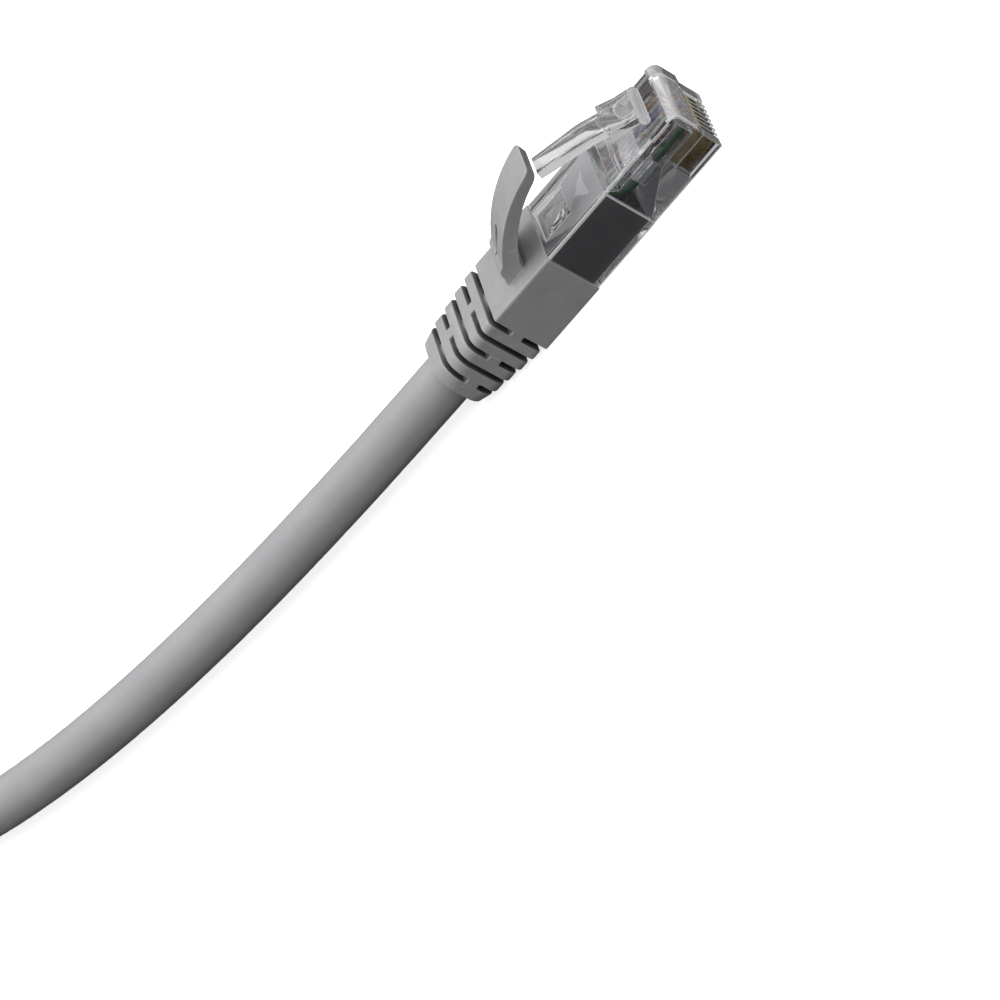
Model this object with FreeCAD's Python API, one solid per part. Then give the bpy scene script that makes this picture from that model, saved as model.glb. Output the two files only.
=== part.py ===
import FreeCAD, Part
import math
import os

from FreeCAD import Vector

# Ethernet patch cable: two clear 8-position modular plugs with snagless boots on one short round cable.
#
# Frame, in millimetres: plug A lies along X with its nose at x = 0 and its cable leaving towards -X.
# y = 0 is the plug's middle, +Z is the latch side and z = 0 is the contact side of both plugs.
# Every plug piece is drawn at end A. End B is the same piece, turned a quarter turn and moved to the far end.

# ---- driving dimensions: plug ----
PLUG_WIDTH = 11.68
PLUG_HEIGHT = 8.0
PLUG_LENGTH = 23.6
NOSE_WIDTH = 11.46
STEP_X = -13.0
NOSE_ROUND = 1.2
LONG_EDGE_ROUND = 0.35
LIP_BOTTOM_Z = 4.5
COMB_TOP_Z = 3.3
COMB_SETBACK = 0.6
SHOULDER_FRONT_X = -1.6
SHOULDER_LENGTH = 2.9
SHOULDER_DEPTH = 0.6

# ---- contacts ----
PIN_COUNT = 8
PIN_PITCH = 1.02
BLADE_THICKNESS = 0.33
BLADE_FRONT_X = -1.0
BLADE_BACK_X = -5.9
BLADE_BOTTOM_Z = 0.6
BLADE_TOP_Z = 3.7
BLADE_NOSE_ROUND = 0.9
TINE_TOP_Z = 4.95
TINE_WIDTH = 0.5
TINE_ROOT_DEPTH = 0.3
TINE_STATIONS = (-1.9, -3.45, -5.0)
SLOT_WIDTH = 0.66
SLOT_BACK_X = -6.4
GRIP_CLEARANCE = 0.03
SLOT_HEADROOM = 0.1
GRIP_BOTTOM_Z = 2.4

# ---- inside of the plug ----
FLOOR = 0.62
CABLE_POCKET_TOP_Z = 7.7
CABLE_POCKET_WIDTH = 10.0
CABLE_POCKET_FRONT_X = -13.05
WIRE_POCKET_WIDTH = 9.2
WIRE_POCKET_FRONT_X = -1.3
WIRE_POCKET_FLOOR_Z = 3.9
WIRE_POCKET_TOP_Z = 6.4
RAMP_TOP_X = -6.9
LOAD_BAR_FRONT_X = -6.8
LOAD_BAR_LENGTH = 3.2
LOAD_BAR_WIDTH = 8.9
LOAD_BAR_BOTTOM_Z = 3.95
LOAD_BAR_TOP_Z = 6.0
WIRE_HOLE_RADIUS = 0.45
WINDOW_FRONT_X = -18.3
WINDOW_BACK_X = -23.0
WINDOW_WIDTH = 5.4
WIRE_CLAMP_FRONT_X = -7.3
WIRE_CLAMP_BACK_X = -10.2
WIRE_CLAMP_WIDTH = 10.2
WIRE_CLAMP_DEPTH = 0.9
CLAMP_WIDTH = 4.2
CLAMP_LENGTH = 4.1
CLAMP_BITE = 0.3
CLAMP_BITE_SHARE = 0.45
CLAMP_ROOT_LENGTH = 0.2
CLAMP_ROOT_Z = (7.72, 7.95)
CLAMP_TOP_Z = 7.9
CLAMP_BACK_THICKNESS = 0.55
CLAMP_ROOM = 0.05

# ---- release latch ----
LATCH_PIVOT_X = -3.6
LATCH_PIVOT_Z = 8.65
LATCH_HINGE_RADIUS = 0.6
LATCH_PLATE_WIDTH = 6.1
LATCH_ARM_WIDTH = 3.3
LATCH_SHOULDER_X = -7.6
LATCH_ROOT_TOP_Z = 9.6
LATCH_ROOT_CHAMFER = 0.35
LATCH_ROOT_BACK_Z = 8.9
LATCH_KNEE = (-5.5, 10.35)
LATCH_SHOULDER_TOP_Z = 11.5
LATCH_SHOULDER_BOTTOM_Z = 9.8
LATCH_BEND_X = -10.2
LATCH_BEND_TOP_Z = 12.6
LATCH_BEND_BOTTOM_Z = 10.85
LATCH_END_X = -16.6
LATCH_END_TOP_Z = 14.25
LATCH_END_BOTTOM_Z = 13.25
LATCH_END_SLANT = 0.3

# ---- boot ----
BOOT_WIDTH = 11.96
BOOT_BOTTOM_Z = -0.1
BOOT_TOP_Z = 8.1
BOOT_EDGE_ROUND = 0.35
BOOT_TO_PLUG_GAP = 0.02
COLLAR_LENGTH = 10.1
BOOT_CORE_FRONT_X = -13.15
BOOT_CORE_WIDTH = 9.9
BOOT_CORE_Z = (0.66, 7.66)
WIRE_MOUTH_LENGTH = 1.5
WIRE_MOUTH_WIDTH = 8.0
WIRE_MOUTH_Z = (1.9, 6.6)
RIB_COUNT = 5
RIB_PITCH = 2.1
RIB_WIDTH = 1.3
RIB_MIDDLE_Z = 4.2
FIRST_RIB_X = -34.5
RIB_HALF_WIDTH_FIRST = 5.9
RIB_HALF_WIDTH_LAST = 5.35
RIB_TAIL_HALF_WIDTH = 4.95
RIB_TAIL_HALF_HEIGHT = 3.8
RIB_TAIL_CORNER = 2.9
RIB_TAIL_LENGTH = 1.8
RIB_HALF_HEIGHT_FIRST = 4.05
RIB_HALF_HEIGHT_LAST = 3.95
RIB_CORNER_FIRST = 0.8
RIB_CORNER_LAST = 2.5
BRIDGE_WIDTH = 1.7
BRIDGE_RECESS = 0.05

# ---- snagless hood ----
HOOD_WIDTH = 6.5
HOOD_PIVOT_X = -28.4
HOOD_PIVOT_Z = 9.3
HOOD_ROOT_RADIUS = 1.15
HOOD_TIP_OUTER = (-16.35, 16.3)
HOOD_MID_OUTER = (-24.4, 13.55)
HOOD_ROOT_OUTER = (-29.5, 9.3)
HOOD_ROOT_INNER = (-26.5, 9.3)
HOOD_MID_INNER = (-22.6, 12.5)
HOOD_TIP_INNER = (-16.5, 14.85)
HOOD_CORNER_ROUND = 0.9
TEARDROP_TOP = (-26.1, 12.3)
TEARDROP_POINT = (-29.1, 9.6)
TEARDROP_RADIUS = 0.8
TEARDROP_DEPTH = 3.0

# ---- cable ----
CABLE_TIP_TO_TIP = 250.0
CABLE_AXIS_Z = 4.15
JACKET_RADIUS = 3.35
JACKET_WALL = 0.6
JACKET_START = 15.8
BORE_CLEARANCE = 0.05
STRAIGHT_END = 40.0
BOW_LENGTH = 98.0
BOW_START_CURVATURE = 0.0009
BOW_CURVATURE_GROWTH = 0.000065
BEND_RADIUS = 45.0
PATH_STEP = 0.5
SPINE_STEP = 4.0
SPLINE_WEB = 0.4
SPLINE_REACH = 2.2
SPLINE_STATIONS = 25
RIPCORD_RADIUS = 0.15
RIPCORD_OFFSET = 2.48

# ---- wires ----
WIRE_RADIUS = 0.42
CORE_RADIUS = 0.24
CORE_CLEARANCE = 0.01
WIRE_END_X = -1.5
ROW_Z = 4.75
FAN_BACK = 15.6
FAN_FRONT = 10.4
PAIR_OFFSET = 1.24
PAIR_RADIUS = 0.48
PAIR_PHASE = math.radians(60)
LAY_TURNS = 0.5
FAN_SIDEWAYS = (0.0, 0.7)
FAN_UPWARDS = (0.2, 1.0)
FAN_STATIONS = 8
STATIONS_PER_TURN = 8
PAIRS = {
    "green": {"pins": (1, 2), "quadrant": 0, "turns": 5},
    "orange": {"pins": (3, 6), "quadrant": 1, "turns": 4},
    "blue": {"pins": (4, 5), "quadrant": 3, "turns": 6},
    "brown": {"pins": (7, 8), "quadrant": 2, "turns": 4},
}
# Pin 1 and pin 2 of the green pair are shown with the solid colour outermost, at both ends.
PIN_COLOURS = {
    1: "green",
    2: "white_green",
    3: "white_orange",
    4: "blue",
    5: "white_blue",
    6: "orange",
    7: "white_brown",
    8: "brown",
}

OVERRUN = 1.0
SEAM_TOLERANCE = 0.0001
TOUCH = 0.001


# ---- small helpers ----
def box(x_range, y_range, z_range):
    """A block between two X, two Y and two Z values."""
    size = [abs(r[1] - r[0]) for r in (x_range, y_range, z_range)]
    corner = Vector(min(x_range), min(y_range), min(z_range))
    return Part.makeBox(size[0], size[1], size[2], corner)


def centred(width):
    """The Y range of something of this width on the plug's middle plane."""
    return (-width / 2, width / 2)


def side_profile(points, width, middle_y=0.0):
    """A prism whose outline is drawn in the XZ plane, centred on middle_y."""
    corners = [Vector(x, middle_y - width / 2, z) for x, z in points]
    outline = Part.makePolygon(corners + corners[:1])
    return Part.Face(outline).extrude(Vector(0, width, 0))


def cross_section(half_width, half_height, corner, x):
    """A rounded rectangle around the cable's axis, as a closed wire in the plane at x."""
    y0, z0 = half_width - corner, half_height - corner
    diagonal = corner * math.sqrt(0.5)
    edges = []
    for turn in range(4):
        sign_y = (1, -1, -1, 1)[turn]
        sign_z = (1, 1, -1, -1)[turn]
        centre = Vector(x, sign_y * y0, RIB_MIDDLE_Z + sign_z * z0)
        on_side = centre + Vector(0, sign_y * corner, 0)
        on_top = centre + Vector(0, 0, sign_z * corner)
        middle = centre + Vector(0, sign_y * diagonal, sign_z * diagonal)
        first, last = (on_side, on_top) if turn % 2 == 0 else (on_top, on_side)
        edges.append(Part.Arc(first, middle, last).toShape())
    joined = []
    for index, edge in enumerate(edges):
        following = edges[(index + 1) % len(edges)]
        joined.append(edge)
        joined.append(Part.makeLine(edge.Vertexes[-1].Point, following.Vertexes[0].Point))
    return Part.Wire(joined)


def along_x_edges(shape):
    """The edges of a shape that run along X."""
    return [edge for edge in shape.Edges if abs(edge.tangentAt(edge.FirstParameter).x) > 1 - TOUCH]


def pin_y(pin):
    """The Y place of a pin. Pin 1 is on the -Y side."""
    return (pin - (PIN_COUNT + 1) / 2) * PIN_PITCH


def sign(value):
    return (value > 0) - (value < 0)


def smooth(value, start, end):
    """Goes smoothly from 0 at start to 1 at end."""
    t = min(max((value - start) / (end - start), 0.0), 1.0)
    return t * t * (3 - 2 * t)


# ---- plug housing ----
def housing_outside():
    """The plug's outer block: a full-width rear and a slightly narrower front with a stepped nose."""
    rear = box((-PLUG_LENGTH, STEP_X), centred(PLUG_WIDTH), (0, PLUG_HEIGHT))
    rear = rear.makeFillet(LONG_EDGE_ROUND, along_x_edges(rear))
    front = box((STEP_X, 0), centred(NOSE_WIDTH), (0, PLUG_HEIGHT))
    nose_edges = [
        edge
        for edge in front.Edges
        if edge.BoundBox.XMin > -TOUCH and edge.BoundBox.ZMin > PLUG_HEIGHT - TOUCH
    ]
    front = front.makeFillet(NOSE_ROUND, nose_edges)
    front = front.makeFillet(LONG_EDGE_ROUND, along_x_edges(front))
    body = rear.fuse(front).removeSplitter()
    return body.cut(nose_setback()).cut(nose_shoulders())


def nose_setback():
    """What is cut from the lower nose, so that the comb sits behind the upper lip."""
    points = [
        (-COMB_SETBACK, -OVERRUN),
        (-COMB_SETBACK, COMB_TOP_Z),
        (0, LIP_BOTTOM_Z),
        (OVERRUN, LIP_BOTTOM_Z),
        (OVERRUN, -OVERRUN),
    ]
    return side_profile(points, 2 * PLUG_WIDTH)


def nose_shoulders():
    """The shallow ledges along both top edges behind the nose."""
    x_range = (SHOULDER_FRONT_X - SHOULDER_LENGTH, SHOULDER_FRONT_X)
    z_range = (PLUG_HEIGHT - SHOULDER_DEPTH, PLUG_HEIGHT + OVERRUN)
    ledges = []
    for side in (-1, 1):
        outer = side * (NOSE_WIDTH / 2 + OVERRUN)
        inner = side * (NOSE_WIDTH / 2 - SHOULDER_DEPTH)
        ledges.append(box(x_range, (inner, outer), z_range))
    return ledges[0].fuse(ledges[1])


def housing_inside():
    """The pocket for the cable and the pocket for the wires, joined by a rising floor."""
    cable = box(
        (-PLUG_LENGTH - OVERRUN, CABLE_POCKET_FRONT_X),
        centred(CABLE_POCKET_WIDTH),
        (FLOOR, CABLE_POCKET_TOP_Z),
    )
    ramp = [
        (CABLE_POCKET_FRONT_X - OVERRUN, FLOOR),
        (CABLE_POCKET_FRONT_X + OVERRUN / 2, FLOOR),
        (RAMP_TOP_X, WIRE_POCKET_FLOOR_Z),
        (WIRE_POCKET_FRONT_X, WIRE_POCKET_FLOOR_Z),
        (WIRE_POCKET_FRONT_X, WIRE_POCKET_TOP_Z),
        (CABLE_POCKET_FRONT_X + OVERRUN, WIRE_POCKET_TOP_Z),
        (CABLE_POCKET_FRONT_X, CABLE_POCKET_TOP_Z),
        (CABLE_POCKET_FRONT_X - OVERRUN, CABLE_POCKET_TOP_Z),
    ]
    return cable.fuse(side_profile(ramp, WIRE_POCKET_WIDTH))


def contact_slot(pin):
    """The slot of one contact: wide where the jack's spring enters, narrow where the blade is gripped."""
    y = pin_y(pin)
    wide = (y - SLOT_WIDTH / 2, y + SLOT_WIDTH / 2)
    grip = BLADE_THICKNESS / 2 + GRIP_CLEARANCE
    mouth = box((SLOT_BACK_X, OVERRUN), wide, (-OVERRUN, GRIP_BOTTOM_Z))
    front = box((BLADE_FRONT_X + GRIP_CLEARANCE, OVERRUN), wide, (-OVERRUN, BLADE_TOP_Z + SLOT_HEADROOM))
    seat = box(
        (BLADE_BACK_X - GRIP_CLEARANCE, BLADE_FRONT_X + GRIP_CLEARANCE),
        (y - grip, y + grip),
        (0, WIRE_POCKET_FLOOR_Z + SLOT_HEADROOM),
    )
    return mouth.fuse([front, seat])


def strain_relief_window():
    """The opening in the plug's top behind the latch."""
    return box(
        (WINDOW_BACK_X, WINDOW_FRONT_X),
        centred(WINDOW_WIDTH),
        (CABLE_POCKET_TOP_Z - OVERRUN, PLUG_HEIGHT + OVERRUN),
    )


def wire_clamp_recess():
    """The trough in the plug's top where the wires' clamp was pressed in."""
    return box(
        (WIRE_CLAMP_BACK_X, WIRE_CLAMP_FRONT_X),
        centred(WIRE_CLAMP_WIDTH),
        (PLUG_HEIGHT - WIRE_CLAMP_DEPTH, PLUG_HEIGHT + OVERRUN),
    )


def clamp_outline():
    """The strain relief tab's side outline: it hangs from the window's front edge and bites the jacket."""
    bottom_z = CABLE_AXIS_Z + JACKET_RADIUS - CLAMP_BITE
    root_x = WINDOW_FRONT_X + CLAMP_ROOT_LENGTH
    back_x = WINDOW_FRONT_X - CLAMP_LENGTH
    bite_x = back_x + CLAMP_LENGTH * CLAMP_BITE_SHARE
    return [
        (root_x, CLAMP_ROOT_Z[1]),
        (root_x, CLAMP_ROOT_Z[0]),
        (bite_x, bottom_z),
        (back_x, bottom_z),
        (back_x, bottom_z + CLAMP_BACK_THICKNESS),
        (bite_x, CLAMP_TOP_Z),
    ]


def strain_relief_clamp():
    """The tab that is pressed down on the jacket when the plug is crimped."""
    return side_profile(clamp_outline(), CLAMP_WIDTH)


def clamp_dent():
    """The room that the tab takes in the jacket and in the boot's core."""
    lowered = strain_relief_clamp().translated(Vector(0, 0, -CLAMP_ROOM))
    beside = [lowered.translated(Vector(side * CLAMP_ROOM, 0, 0)) for side in (-1, 1)]
    across = [lowered.translated(Vector(0, side * CLAMP_ROOM, 0)) for side in (-1, 1)]
    return lowered.fuse(beside + across)


def make_housing():
    body = housing_outside().cut(housing_inside())
    for pin in range(1, PIN_COUNT + 1):
        body = body.cut(contact_slot(pin))
    body = body.cut(strain_relief_window()).cut(wire_clamp_recess())
    return body.fuse(strain_relief_clamp()).removeSplitter()


# ---- release latch ----
def latch_outline():
    """The latch's side outline as (x, z) corners, from the front of its root, over the top, and back."""
    front_x = LATCH_PIVOT_X + LATCH_HINGE_RADIUS
    back_x = LATCH_PIVOT_X - LATCH_HINGE_RADIUS
    return [
        (front_x, LATCH_PIVOT_Z),
        (front_x, LATCH_ROOT_TOP_Z - LATCH_ROOT_CHAMFER),
        (front_x - LATCH_ROOT_CHAMFER, LATCH_ROOT_TOP_Z),
        LATCH_KNEE,
        (LATCH_SHOULDER_X, LATCH_SHOULDER_TOP_Z),
        (LATCH_BEND_X, LATCH_BEND_TOP_Z),
        (LATCH_END_X, LATCH_END_TOP_Z),
        (LATCH_END_X - LATCH_END_SLANT, LATCH_END_BOTTOM_Z),
        (LATCH_BEND_X, LATCH_BEND_BOTTOM_Z),
        (LATCH_SHOULDER_X, LATCH_SHOULDER_BOTTOM_Z),
        (back_x, LATCH_ROOT_BACK_Z),
        (back_x, LATCH_PIVOT_Z),
    ]


def make_latch():
    full = side_profile(latch_outline(), LATCH_PLATE_WIDTH)
    behind_shoulder = []
    for side in (-1, 1):
        y_range = (side * LATCH_ARM_WIDTH / 2, side * LATCH_PLATE_WIDTH)
        x_range = (LATCH_END_X - OVERRUN, LATCH_SHOULDER_X)
        behind_shoulder.append(box(x_range, y_range, (0, 2 * LATCH_END_TOP_Z)))
    body = full.cut(behind_shoulder[0]).cut(behind_shoulder[1])
    start = Vector(LATCH_PIVOT_X, -LATCH_PLATE_WIDTH / 2, LATCH_PIVOT_Z)
    hinge = Part.makeCylinder(LATCH_HINGE_RADIUS, LATCH_PLATE_WIDTH, start, Vector(0, 1, 0))
    return body.fuse(hinge).removeSplitter()


# ---- load bar and contacts ----
def make_load_bar():
    x_range = (LOAD_BAR_FRONT_X - LOAD_BAR_LENGTH, LOAD_BAR_FRONT_X)
    bar = box(x_range, centred(LOAD_BAR_WIDTH), (LOAD_BAR_BOTTOM_Z, LOAD_BAR_TOP_Z))
    hole_length = LOAD_BAR_LENGTH + 2 * OVERRUN
    for pin in range(1, PIN_COUNT + 1):
        start = Vector(x_range[0] - OVERRUN, pin_y(pin), ROW_Z)
        bar = bar.cut(Part.makeCylinder(WIRE_HOLE_RADIUS, hole_length, start, Vector(1, 0, 0)))
    return bar


def tine_outline(x):
    """The pointed outline of one tine, standing on the blade at x."""
    half = TINE_WIDTH / 2
    root_z = BLADE_TOP_Z - TINE_ROOT_DEPTH
    shoulder_z = TINE_TOP_Z - half
    return [
        (x - half, root_z),
        (x + half, root_z),
        (x + half, shoulder_z),
        (x, TINE_TOP_Z),
        (x - half, shoulder_z),
    ]


def make_contact(pin):
    y = pin_y(pin)
    blade = side_profile(
        [
            (BLADE_BACK_X, BLADE_BOTTOM_Z),
            (BLADE_FRONT_X, BLADE_BOTTOM_Z),
            (BLADE_FRONT_X, BLADE_TOP_Z),
            (BLADE_BACK_X, BLADE_TOP_Z),
        ],
        BLADE_THICKNESS,
        y,
    )
    corner = [
        edge
        for edge in blade.Edges
        if edge.BoundBox.XMin > BLADE_FRONT_X - TOUCH and edge.BoundBox.ZMax < BLADE_BOTTOM_Z + TOUCH
    ]
    blade = blade.makeFillet(BLADE_NOSE_ROUND, corner)
    tines = [side_profile(tine_outline(x), BLADE_THICKNESS, y) for x in TINE_STATIONS]
    return blade.fuse(tines).removeSplitter()


def tine_room(pin):
    """The cut that one contact's tines make in their wire."""
    rooms = []
    for x in TINE_STATIONS:
        points = []
        for corner_x, corner_z in tine_outline(x):
            points.append((corner_x + GRIP_CLEARANCE * sign(corner_x - x), corner_z + GRIP_CLEARANCE))
        rooms.append(side_profile(points, BLADE_THICKNESS + 2 * GRIP_CLEARANCE, pin_y(pin)))
    return rooms[0].fuse(rooms[1:])


# ---- boot ----
def rib_share(index):
    """0 at the first rib and 1 at the last."""
    return index / (RIB_COUNT - 1)


def between(first, last, share):
    return first + (last - first) * share


def rib_section(index, x):
    """The outline of a rib."""
    share = rib_share(index)
    half_width = between(RIB_HALF_WIDTH_FIRST, RIB_HALF_WIDTH_LAST, share)
    half_height = between(RIB_HALF_HEIGHT_FIRST, RIB_HALF_HEIGHT_LAST, share)
    return cross_section(half_width, half_height, between(RIB_CORNER_FIRST, RIB_CORNER_LAST, share), x)


def rib_x(index):
    """The front of a rib."""
    return FIRST_RIB_X - index * RIB_PITCH


def make_rib(index):
    x = rib_x(index)
    if index < RIB_COUNT - 1:
        return Part.Face(rib_section(index, x)).extrude(Vector(-RIB_WIDTH, 0, 0))
    tail = cross_section(RIB_TAIL_HALF_WIDTH, RIB_TAIL_HALF_HEIGHT, RIB_TAIL_CORNER, x - RIB_TAIL_LENGTH)
    return Part.makeLoft([rib_section(index, x), tail], True, True)


def make_bridges():
    """The webs across the open slots: at the sides in every other slot, at the top and bottom between."""
    bridges = []
    for index in range(RIB_COUNT):
        start = rib_x(index) - RIB_WIDTH / 2
        end = rib_x(index) + RIB_PITCH - RIB_WIDTH / 2
        share = rib_share(index)
        half_width = between(RIB_HALF_WIDTH_FIRST, RIB_HALF_WIDTH_LAST, share) - BRIDGE_RECESS
        half_height = between(RIB_HALF_HEIGHT_FIRST, RIB_HALF_HEIGHT_LAST, share) - BRIDGE_RECESS
        if index % 2 == 0:
            z_range = (RIB_MIDDLE_Z - BRIDGE_WIDTH / 2, RIB_MIDDLE_Z + BRIDGE_WIDTH / 2)
            bridges.append(box((start, end), (-half_width, half_width), z_range))
        else:
            z_range = (RIB_MIDDLE_Z - half_height, RIB_MIDDLE_Z + half_height)
            bridges.append(box((start, end), centred(BRIDGE_WIDTH), z_range))
    return bridges


def boot_core():
    """The part of the boot that fills the plug's cable pocket, open in front where the wires fan out."""
    x_range = (-PLUG_LENGTH - OVERRUN, BOOT_CORE_FRONT_X)
    core = box(x_range, centred(BOOT_CORE_WIDTH), BOOT_CORE_Z)
    mouth_range = (BOOT_CORE_FRONT_X - WIRE_MOUTH_LENGTH, BOOT_CORE_FRONT_X + OVERRUN)
    return core.cut(box(mouth_range, centred(WIRE_MOUTH_WIDTH), WIRE_MOUTH_Z)).cut(clamp_dent())


def make_boot():
    front_x = -PLUG_LENGTH - BOOT_TO_PLUG_GAP
    collar = box((front_x - COLLAR_LENGTH, front_x), centred(BOOT_WIDTH), (BOOT_BOTTOM_Z, BOOT_TOP_Z))
    collar = collar.makeFillet(BOOT_EDGE_ROUND, along_x_edges(collar))
    ribs = [make_rib(index) for index in range(RIB_COUNT)]
    body = collar.fuse([boot_core()] + ribs + make_bridges())
    bore_radius = JACKET_RADIUS + BORE_CLEARANCE
    bore = Part.makeCylinder(bore_radius, -2 * rib_x(RIB_COUNT), Vector(0, 0, CABLE_AXIS_Z), Vector(-1, 0, 0))
    return body.cut(bore).removeSplitter()


# ---- snagless hood ----
def teardrop():
    """The teardrop opening through the hood's slope, round at the top and pointed at the bottom."""
    top = Vector(TEARDROP_TOP[0], 0, TEARDROP_TOP[1])
    point = Vector(TEARDROP_POINT[0], 0, TEARDROP_POINT[1])
    uphill = (top - point).normalize()
    outwards = Vector(-uphill.z, 0, uphill.x)
    side = Vector(0, TEARDROP_RADIUS, 0)
    rounded = Part.Arc(top - side, top + uphill * TEARDROP_RADIUS, top + side).toShape()
    outline = Part.Wire([rounded, Part.makeLine(top + side, point), Part.makeLine(point, top - side)])
    opening = Part.Face(outline).translated(outwards * TEARDROP_DEPTH / 2)
    return opening.extrude(outwards * -TEARDROP_DEPTH)


def make_hood():
    def point(place):
        return Vector(place[0], -HOOD_WIDTH / 2, place[1])

    outline = Part.Wire(
        [
            Part.Arc(point(HOOD_TIP_OUTER), point(HOOD_MID_OUTER), point(HOOD_ROOT_OUTER)).toShape(),
            Part.makeLine(point(HOOD_ROOT_OUTER), point(HOOD_ROOT_INNER)),
            Part.Arc(point(HOOD_ROOT_INNER), point(HOOD_MID_INNER), point(HOOD_TIP_INNER)).toShape(),
            Part.makeLine(point(HOOD_TIP_INNER), point(HOOD_TIP_OUTER)),
        ]
    )
    shell = Part.Face(outline).extrude(Vector(0, HOOD_WIDTH, 0))
    tip_corners = [
        edge
        for edge in shell.Edges
        if edge.BoundBox.XMin > HOOD_TIP_INNER[0] - TOUCH and edge.BoundBox.YLength < TOUCH
    ]
    shell = shell.makeFillet(HOOD_CORNER_ROUND, tip_corners)
    start = Vector(HOOD_PIVOT_X, -HOOD_WIDTH / 2, HOOD_PIVOT_Z)
    root = Part.makeCylinder(HOOD_ROOT_RADIUS, HOOD_WIDTH, start, Vector(0, 1, 0))
    return shell.fuse(root).removeSplitter().cut(teardrop())


# ---- cable path ----
def build_path():
    """The cable's centre line from nose to nose, as (distance, x, y, heading) every PATH_STEP.

    It leaves plug A straight, bows with a slowly growing curvature, turns on the bend radius until it heads
    along +Y, and enters plug B straight. Heading is 0 towards -X and a quarter turn towards +Y.
    """
    stations = []
    x = y = heading = distance = 0.0
    while distance < CABLE_TIP_TO_TIP + PATH_STEP / 2:
        stations.append((distance, x, y, heading))
        into_bow = distance + PATH_STEP / 2 - STRAIGHT_END
        if into_bow < 0:
            curvature = 0.0
        elif into_bow < BOW_LENGTH:
            curvature = BOW_START_CURVATURE + BOW_CURVATURE_GROWTH * into_bow
        else:
            curvature = min(1 / BEND_RADIUS, (math.pi / 2 - heading) / PATH_STEP)
        middle = heading + curvature * PATH_STEP / 2
        x -= PATH_STEP * math.cos(middle)
        y += PATH_STEP * math.sin(middle)
        heading += curvature * PATH_STEP
        distance += PATH_STEP
    return stations


PATH = build_path()


def on_path(distance):
    """The centre line's x, y and heading at a distance from nose A."""
    place = min(max(distance / PATH_STEP, 0.0), len(PATH) - 1)
    index = min(int(place), len(PATH) - 2)
    share = place - index
    here, there = PATH[index], PATH[index + 1]
    return [a + (b - a) * share for a, b in zip(here[1:], there[1:])]


def beside_path(distance, sideways, up):
    """A point beside the centre line. Sideways is towards -Y at nose A, and up is above the axis."""
    x, y, heading = on_path(distance)
    return Vector(
        x - sideways * math.sin(heading),
        y - sideways * math.cos(heading),
        CABLE_AXIS_Z + up,
    )


def rings_along(points, radius):
    """Circles of one radius, square to the smooth curve through the points, with their seams in line."""
    curve = Part.BSplineCurve()
    curve.interpolate(points)
    rings = []
    for point in points:
        direction = curve.tangent(curve.parameter(point))[0]
        circle = Part.Circle(point, direction, radius)
        circle.XAxis = Vector(0, 0, 1).cross(direction)
        rings.append(Part.Wire([circle.toShape()]))
    return rings


def rod(points, radius, straight_steps=True):
    """A round rod through the points, in short straight steps or as one smooth surface."""
    return Part.makeLoft(rings_along(points, radius), True, straight_steps)


def tube(points, radius, bore):
    """A round tube through the points, in short straight steps."""
    outer, inner = rings_along(points, radius), rings_along(points, bore)
    faces = Part.makeLoft(outer, False, True).Faces + Part.makeLoft(inner, False, True).Faces
    faces += [Part.Face([outer[end], inner[end]]) for end in (0, -1)]
    shell = Part.makeShell(faces)
    shell.sewShape()
    solid = Part.makeSolid(shell)
    solid.fix(SEAM_TOLERANCE, SEAM_TOLERANCE, SEAM_TOLERANCE)
    return solid


def stations(start, end, step):
    """Evenly spaced distances from start to end, about step apart."""
    count = max(int(round((end - start) / step)), 1)
    return [start + (end - start) * i / count for i in range(count + 1)]


# ---- cable pieces ----
def make_jacket():
    end = CABLE_TIP_TO_TIP - JACKET_START
    spine = [beside_path(d, 0, 0) for d in stations(JACKET_START, end, SPINE_STEP)]
    overrun = [beside_path(d, 0, 0) for d in stations(JACKET_START - OVERRUN, end + OVERRUN, SPINE_STEP)]
    jacket = rod(spine, JACKET_RADIUS, False).cut(rod(overrun, JACKET_RADIUS - JACKET_WALL, False))
    return jacket.cut(clamp_dent()).cut(to_end_b(clamp_dent()))


def lay_angle(distance):
    """How far the cable's core has turned about the cable's axis."""
    share = (distance - FAN_BACK) / (CABLE_TIP_TO_TIP - 2 * FAN_BACK)
    return 2 * math.pi * LAY_TURNS * min(max(share, 0.0), 1.0)


def make_cross_spline():
    """The four-armed separator, twisted with the cable's lay."""
    web = SPLINE_WEB / 2
    corners = []
    for arm in range(4):
        for radial, across in ((web, -web), (SPLINE_REACH, -web), (SPLINE_REACH, web)):
            corners.append((math.hypot(radial, across), math.atan2(across, radial) + arm * math.pi / 2))
    start = JACKET_START + OVERRUN
    end = CABLE_TIP_TO_TIP - start
    sections = []
    for distance in stations(start, end, (end - start) / SPLINE_STATIONS):
        turn = lay_angle(distance)
        ring = [beside_path(distance, r * math.cos(a + turn), r * math.sin(a + turn)) for r, a in corners]
        sections.append(Part.makePolygon(ring + ring[:1]))
    return Part.makeLoft(sections, True, False)


def make_ripcord():
    start = JACKET_START + OVERRUN
    points = []
    for distance in stations(start, CABLE_TIP_TO_TIP - start, SPINE_STEP):
        turn = lay_angle(distance)
        points.append(beside_path(distance, RIPCORD_OFFSET * math.cos(turn), RIPCORD_OFFSET * math.sin(turn)))
    return rod(points, RIPCORD_RADIUS)


# ---- wires ----
def pair_of(pin):
    """The pair that a pin belongs to, and +1 or -1 for the pair's first or second wire."""
    for pair in PAIRS.values():
        if pin in pair["pins"]:
            return pair, 1 if pin == pair["pins"][0] else -1
    raise ValueError(pin)


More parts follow.
